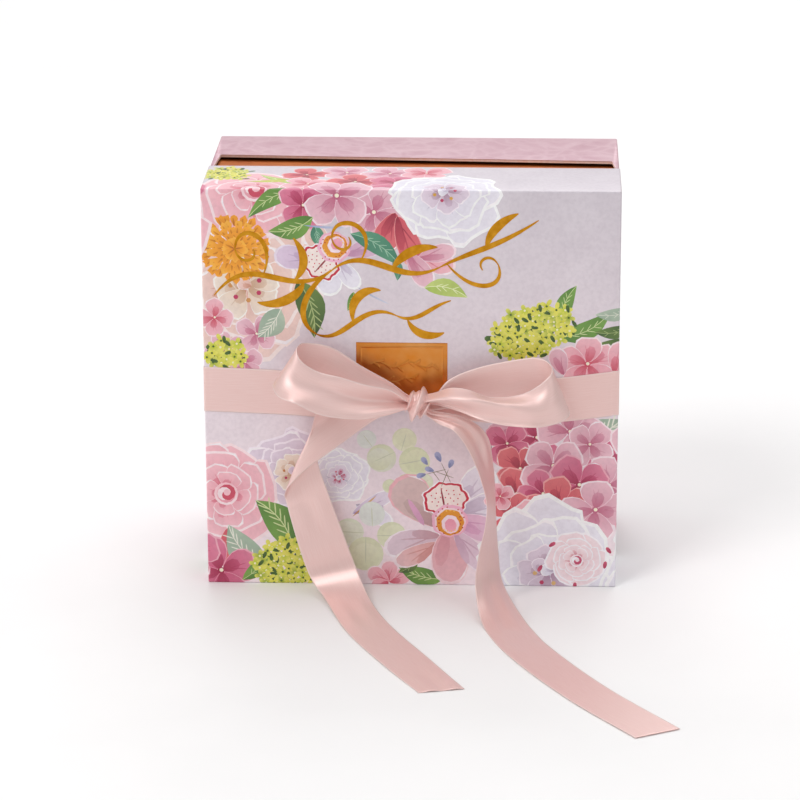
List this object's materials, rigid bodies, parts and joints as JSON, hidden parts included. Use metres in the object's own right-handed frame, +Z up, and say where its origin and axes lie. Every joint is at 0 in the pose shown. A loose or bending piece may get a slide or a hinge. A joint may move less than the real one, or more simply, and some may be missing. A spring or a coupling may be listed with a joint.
{
  "type": "flower box",
  "caption": "Square rigid shoulder box with a foil-lined neck, a floral lift-off lid, a foil plaque and a satin ribbon tied in a bow with long tails.",
  "frame": {"origin": "on the face that the box stands on, in the middle of its width and 65 mm behind the lid's face, at ground level", "axes": "+Z up, -Y out of the lid face towards the viewer, +X to the right as seen from the front"},
  "size_m": [0.2825, 0.368, 0.25],
  "materials": {
    "greyboard": "uncoated grey chipboard",
    "pearl_wrap": "pink pearl paper with a cloudy vein, soft sheen",
    "floral_wrap": "matt-laminated paper printed with flowers on pale lilac-grey",
    "paper_tape": "gummed kraft paper",
    "lining_paper": "uncoated white paper",
    "copper_neck": "chipboard covered in brushed copper foil paper",
    "copper_foil": "satin copper foil on card, embossed",
    "gold_foil": "hot-stamped gold foil",
    "satin_ribbon": "double-faced blush satin"
  },
  "bodies": {
    "base": {"base_board_back": "greyboard", "base_board_left": "greyboard", "base_board_right": "greyboard", "base_board_bottom": "greyboard", "base_board_top": "greyboard", "base_wrap_back": "pearl_wrap", "base_wrap_left": "pearl_wrap", "base_wrap_right": "pearl_wrap", "base_wrap_bottom": "pearl_wrap", "base_wrap_top": "pearl_wrap", "base_stay_top_left": "paper_tape", "base_stay_bottom_left": "paper_tape", "base_stay_top_right": "paper_tape", "base_stay_bottom_right": "paper_tape", "base_lining": "lining_paper", "neck_left": "copper_neck", "neck_right": "copper_neck", "neck_bottom": "copper_neck", "neck_top": "copper_neck"},
    "lid": {"lid_board_front": "greyboard", "lid_board_left": "greyboard", "lid_board_right": "greyboard", "lid_board_bottom": "greyboard", "lid_board_top": "greyboard", "lid_wrap_front": "floral_wrap", "lid_wrap_left": "floral_wrap", "lid_wrap_right": "floral_wrap", "lid_wrap_bottom": "floral_wrap", "lid_wrap_top": "floral_wrap", "lid_stay_bottom_left": "paper_tape", "lid_stay_top_left": "paper_tape", "lid_stay_bottom_right": "paper_tape", "lid_stay_top_right": "paper_tape", "lid_lining": "lining_paper", "foil_plaque": "copper_foil", "foil_flourish": "gold_foil", "ribbon_side_left": "satin_ribbon", "ribbon_side_right": "satin_ribbon", "ribbon_front_left": "satin_ribbon", "ribbon_front_right": "satin_ribbon", "bow_knot": "satin_ribbon", "bow_loop_left": "satin_ribbon", "bow_loop_right": "satin_ribbon", "bow_tail_left": "satin_ribbon", "bow_tail_right": "satin_ribbon"}
  },
  "joints": [
    {"name": "lid_lift", "type": "slide", "parent": "base", "child": "lid", "axis": [0, -1, 0], "range_m": [0, 0.1]}
  ]
}
